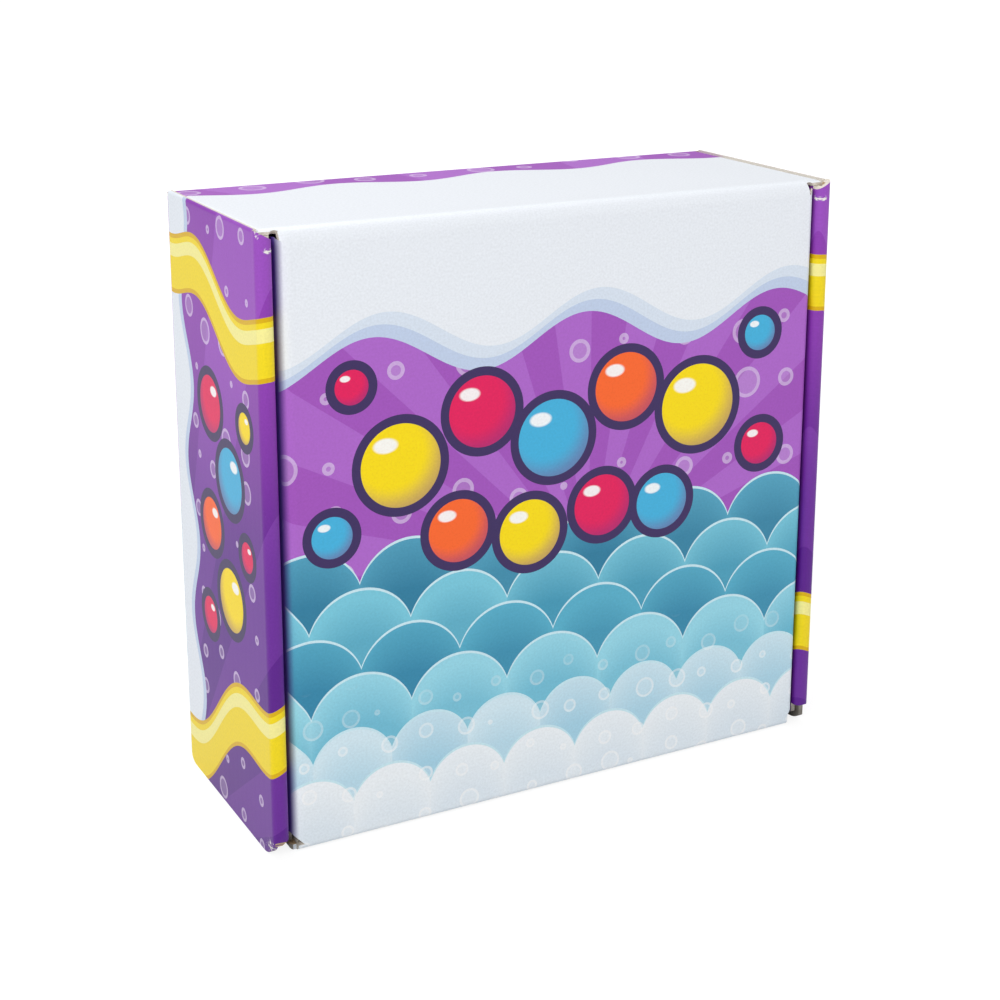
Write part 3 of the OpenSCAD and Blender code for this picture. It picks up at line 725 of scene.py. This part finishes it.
for hand, out in hands:
    radius = lip_radius[hand]
    axis_x, axis_y = out * (lid_half - radius), lid_front + radius
    stretches = (("lower_lip", lip_low, wing_low.z), ("wing_fold", wing_low.z, wing_high.z),
                 ("upper_lip", wing_high.z, lip_top + lip_rise))
    slants = {"lower_lip": ((out * lid_half, 0, flap_level + slant_rise),
                            (out * slant_slope, 0, -1)),
              "upper_lip": ((axis_x, 0, lip_top), (-out * lip_rise, 0, radius))}
    for part, low_end, high_end in stretches:
        lip = crease(f"{hand}_{part}", ((axis_x, axis_y, low_end), (axis_x, axis_y, high_end)),
                     ahead, (out, 0, 0), radius)
        if part in slants:
            slice_off(lip, *slants[part])
            for face in lip.data.polygons:
                if abs(face.normal.z) > end_tilt:
                    face.material_index = raw_paper
        if part == "lower_lip":
            cut_away(lip, block((axis_x - 2 * radius, wall_low.y - wall_gap, flap_level),
                                (axis_x + 2 * radius, axis_y + radius, wall_high.z + wall_gap)))
            weld(lip)
        lay_out(lip, (1, out, 0, -out * lid_front), as_z)
        if part == "wing_fold":
            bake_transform(lip)
        else:
            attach(lip, "lid")

# Insert A platform of white-lined board on four folded legs, which stands on the base in the
# tray.
white_liner = plain_liner("white_liner", "#DCDEDF", "#F0F1F0", 0.7)
for name, outside in (("platform", (0, -1, 0)), ("left_leg", (-1, 0, 0)), ("right_leg", (1, 0, 0)),
                      ("lower_leg", (0, 0, -1)), ("upper_leg", (0, 0, 1))):
    insert_panel = panel("insert_" + name, outside, white_liner, white_liner)
    if name == "platform":
        flute(insert_panel, 0, -fold_margin, -fold_margin)
        lay_out(insert_panel, as_z, as_x)
    else:
        lay_out(insert_panel, (1, 0, 1, 0), as_y)
    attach(insert_panel, "tray")


# Blower
# A tapered tube of moulded yellow plastic that is blown through at its lip. A piece of terry cloth
# is stretched over its wide end, gathered up the side and held by an elastic band.
def moulded_plastic(name, dark, light, roughness, grit):
    """Injection-moulded plastic: even colour with a faint flow, a skin of fine grit and soft
    dips."""
    flow_size, dip_share, sheen_change = 14 * mm, 8.0, 0.08
    made, t = new_material(name)
    place = node(t, "TexCoord", out="Object")
    flow = noise(t, place, 1 / flow_size, 2.0)
    skin = noise(t, place, 1 / grit, 2.0)
    sheen = ramp(t, skin, 0.0, 1.0, roughness - sheen_change, roughness + sheen_change)
    relief = calc(t, "MULTIPLY_ADD", flow, dip_share, skin)
    principled(t, {"Base Color": mix(t, flow, dark, light), "Roughness": sheen, "IOR": 1.49,
                   "Normal": bump(t, relief, 0.2, 0.05 * mm)})
    return made


def dress(name, finish):
    """Gives a solid its finish."""
    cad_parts[name].material_slots[0].material = finish


dress("blower_body",
      moulded_plastic("moulded_yellow_plastic", "#F2BE0A", "#FFD21F", 0.3, 0.7 * mm))

# Terry cloth: cotton loops that stand up in fine rows, soft and matt, with painted shade between
# the loops. Loops are drawn coarser than real, so that they show.
loop_size = 0.9 * mm
terry_cloth, t = new_material("terry_cloth")
place = node(t, "TexCoord", out="Object")
loops = node(t, "TexVoronoi", {"Vector": place, "Scale": 1 / loop_size, "Randomness": 0.8},
             out="Distance")
# Painted shade: the yarn is made darker between the loops, where the cloth dips.
yarn_and_shade = mix(t, ramp(t, loops, 0.1, 0.75), "#F4F1E8", "#CFC9BA")
principled(t, {"Base Color": yarn_and_shade, "Roughness": 0.95, "Specular IOR Level": 0.1,
               "Sheen Weight": 0.3, "Normal": bump(t, loops, 0.9, 0.35 * mm, invert=True)})

# The cover's profile, from the middle of the blower's end to the hem. Its length is the radius of
# the disc that the cloth is cut as.
cloth_low, cloth_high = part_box("blower_cloth")
band_low, band_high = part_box("blower_band")
cloth_axis = (cloth_low + cloth_high) / 2
band_level = (band_low.z + band_high.z) / 2
cloth_thick = 0.8 * mm
base = cloth_low.z + cloth_thick / 2
end_radius, corner_round = 18.9 * mm, 1.2 * mm
corner = [(end_radius + corner_round * math.sin(a), base + corner_round * (1 - math.cos(a)))
          for a in np.linspace(0, math.pi / 2, 7)]
side = [(20.1 * mm, band_level - 2 * mm), (19.95 * mm, band_level),
        (20.2 * mm, band_level + 1.8 * mm), (20.9 * mm, band_level + 4.5 * mm),
        (21.2 * mm, cloth_high.z - 0.6 * mm)]
profile = np.array([(0.0, base), (9 * mm, base), *corner, *side])
run = np.concatenate([[0], np.cumsum(np.linalg.norm(np.diff(profile, axis=0), axis=1))])
cut_radius = run[-1]

# Where the disc is wider than the profile, the spare cloth goes into gathers. A wave of each
# steepness is longer than its straight run by a known factor, so the gathers use up what is spare.
gathers = 44
terry_cover = add_shape(bpy.ops.mesh.primitive_grid_add, x_subdivisions=6 * gathers,
                        y_subdivisions=60, size=1)
terry_cover.name = "terry_cover"
grid = np.array([vertex.co for vertex in terry_cover.data.vertices])
turn = (grid[:, 0] + 0.5) * 2 * math.pi
cut_at = (grid[:, 1] + 0.5) * cut_radius
radius = np.interp(cut_at, run, profile[:, 0])
level = np.interp(cut_at, run, profile[:, 1])
steep = np.linspace(0, 3, 61)
one_wave = np.linspace(0, 2 * math.pi, 721)[:-1]
longer = np.array([np.mean(np.sqrt(1 + (k * np.cos(one_wave)) ** 2)) for k in steep])
spare = np.clip(cut_at / np.maximum(radius, 1 * mm), 1, longer[-1])
swing = np.interp(spare, longer, steep) * radius / gathers
band_grip, band_reach = 0.8, 1.6 * mm
swing *= 1 - band_grip * np.exp(-((level - band_level) / band_reach) ** 2)
# Slow waves round the cover make the gathers, their depth and the hem uneven, as by hand.
ripple = gathers * turn + 0.9 * np.sin(3 * turn + 0.7) + 0.6 * np.sin(7 * turn + 2.1)
radius = radius + swing * (0.85 + 0.15 * np.sin(5 * turn + 1.3)) * np.sin(ripple)
hem_wave, hem_reach = 0.4 * mm, 7 * mm
above_band = np.maximum(level - band_level, 0)
level = level + hem_wave * np.sin(4 * turn + 0.4) * above_band / hem_reach
points = np.stack([cloth_axis.x + radius * np.cos(turn), cloth_axis.y + radius * np.sin(turn),
                   level], 1)
terry_cover.data.vertices.foreach_set("co", points.ravel())
edit(terry_cover, (bpy.ops.mesh.remove_doubles, {"threshold": near_point}),
     (bpy.ops.mesh.normals_make_consistent, {"inside": False}))
apply_modifier(terry_cover, "SOLIDIFY", thickness=cloth_thick, offset=0.0)
bpy.ops.object.shade_smooth()
terry_cover.data.materials.append(terry_cloth)
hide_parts("blower_cloth")
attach(terry_cover, "tray")

# Latex band: soft rubber with a dusty bloom and fine lines from the extruder round it.
line_length, line_width, bloom_size = 3 * mm, 0.25 * mm, 1.5 * mm
latex_band, t = new_material("latex_band")
place = node(t, "TexCoord", out="Object")
line_place = node(t, "Mapping", {"Vector": place, "Scale": (1 / line_length, 1 / line_length,
                                                            1 / line_width)})
lines = noise(t, line_place, 1.0, 2.0)
rubber = mix(t, noise(t, place, 1 / bloom_size, 3.0), "#D01858", "#EE4C86")
principled(t, {"Base Color": rubber, "Roughness": 0.62, "IOR": 1.52,
               "Normal": bump(t, lines, 0.3, 0.1 * mm)})
dress("blower_band", latex_band)

# Dip dish
# An oblong trough of satin blue plastic, moulded in one with its rim, for the solution. It stands
# on its edge in the insert's slot.
dress("dip_dish", moulded_plastic("satin_blue_plastic", "#4FA9CC", "#6CC3DF", 0.45, 0.5 * mm))

# Bottle
# A blow-moulded clear bottle of bubble solution. Its ribbed screw cap is pressed tight on a foam
# liner.

# Clear PET: glassy, with the faint waviness of blown walls.
wave_size = 12 * mm
clear_bottle, t = new_material("clear_blown_pet")
place = node(t, "TexCoord", out="Object")
sway = noise(t, place, 1 / wave_size, 1.0)
haze = ramp(t, sway, 0.0, 1.0, 0.02, 0.1)
principled(t, {"Base Color": colour("#EAF6FA"), "Roughness": haze, "IOR": 1.5,
               "Transmission Weight": 1.0, "Normal": bump(t, sway, 0.15, 0.4 * mm)})
dress("solution_bottle", clear_bottle)

# Bubble solution: thin tinted soap, a little cloudy, denser in colour towards the bottom.
soap_solution, t = new_material("soap_solution")
place = node(t, "TexCoord", out="Object")
height = node(t, "SeparateXYZ", {0: place}, out="Z")
low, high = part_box("bubble_solution")
tint = mix(t, ramp(t, height, low.z, high.z), "#86D5F3", "#BDEBFA")
principled(t, {"Base Color": tint, "Roughness": 0.02, "IOR": 1.34, "Transmission Weight": 0.4})
dress("bubble_solution", soap_solution)

# Foam liner: white foamed sheet, finely pitted, with painted shade darkening each pit.
pit_size = 0.5 * mm
foam_liner, t = new_material("foamed_liner")
place = node(t, "TexCoord", out="Object")
pits = node(t, "TexVoronoi", {"Vector": place, "Scale": 1 / pit_size}, out="Distance")
# Painted shade: each pit is made darker towards its bottom.
foam_and_pit_shade = mix(t, pits, "#DADCDA", "#F6F6F4")
principled(t, {"Base Color": foam_and_pit_shade, "Roughness": 0.8, "Normal": bump(t, pits, 0.4, 0.1 * mm)})
dress("cap_liner", foam_liner)
dress("bottle_cap",
      moulded_plastic("moulded_magenta_plastic", "#CE1356", "#E62A6C", 0.34, 0.6 * mm))

# Stage and camera
# A white floor that keeps the carton's soft shadow, wide soft lamps and a pale room, seen from the
# height and side of the photograph.
floor_white, t = new_material("floor_white")
seen = node(t, "LightPath", out="Is Camera Ray")
for ray in ("Is Glossy Ray", "Is Transmission Ray"):
    seen = calc(t, "MAXIMUM", seen, node(t, "LightPath", out=ray))
lit = node(t, "BsdfDiffuse", {"Color": (0.8, 0.8, 0.8, 1)})
dim = node(t, "BsdfDiffuse", {"Color": (0.22, 0.22, 0.22, 1)})
place = node(t, "TexCoord", out="Object")
away = node(t, "VectorMath", {0: place}, out="Value", operation="LENGTH")
strength = ramp(t, away, 0.2, 0.8, 0.86, 1.0)
glow = node(t, "Emission", {"Color": (1, 1, 1, 1), "Strength": strength})
white = node(t, "AddShader", {0: dim, 1: glow})
end_material(t, node(t, "MixShader", {0: seen, 1: lit, 2: white}))
floor = add_shape(bpy.ops.mesh.primitive_plane_add, size=12, location=(0, 0, 0))
floor.name = "floor"
floor.data.materials.append(floor_white)

world = bpy.data.worlds.new("pale_room")
bpy.context.scene.world = world
world.use_nodes = True
room = world.node_tree.nodes["Background"].inputs
room["Color"].default_value = (1, 1, 1, 1)
room["Strength"].default_value = 0.32
lamp_aim = Vector((0, 0, 0.08))
for name, place, power, size in (("key_lamp", (-1.1, -0.8, 1.0), 13, 0.9),
                                 ("fill_lamp", (0.9, -1.2, 0.8), 6.2, 1.0),
                                 ("top_lamp", (0.0, 0.7, 1.35), 11.5, 1.0)):
    bpy.ops.object.light_add(type="AREA", location=place)
    lamp = bpy.context.object
    lamp.name = name
    lamp.data.energy = power
    lamp.data.size = size
    lamp.rotation_euler = (lamp_aim - lamp.location).to_track_quat("-Z", "Y").to_euler()

bpy.ops.object.camera_add(location=(-0.23226, -0.43638, 0.24419),
                          rotation=[math.radians(turn) for turn in (75.591, -0.4446, -29.2736)])
camera = bpy.context.object
camera.data.sensor_width = 36
camera.data.lens = 66.79
camera.data.shift_x = -0.05
camera.data.shift_y = -0.15
camera.data.clip_start = 0.01
bpy.context.scene.camera = camera
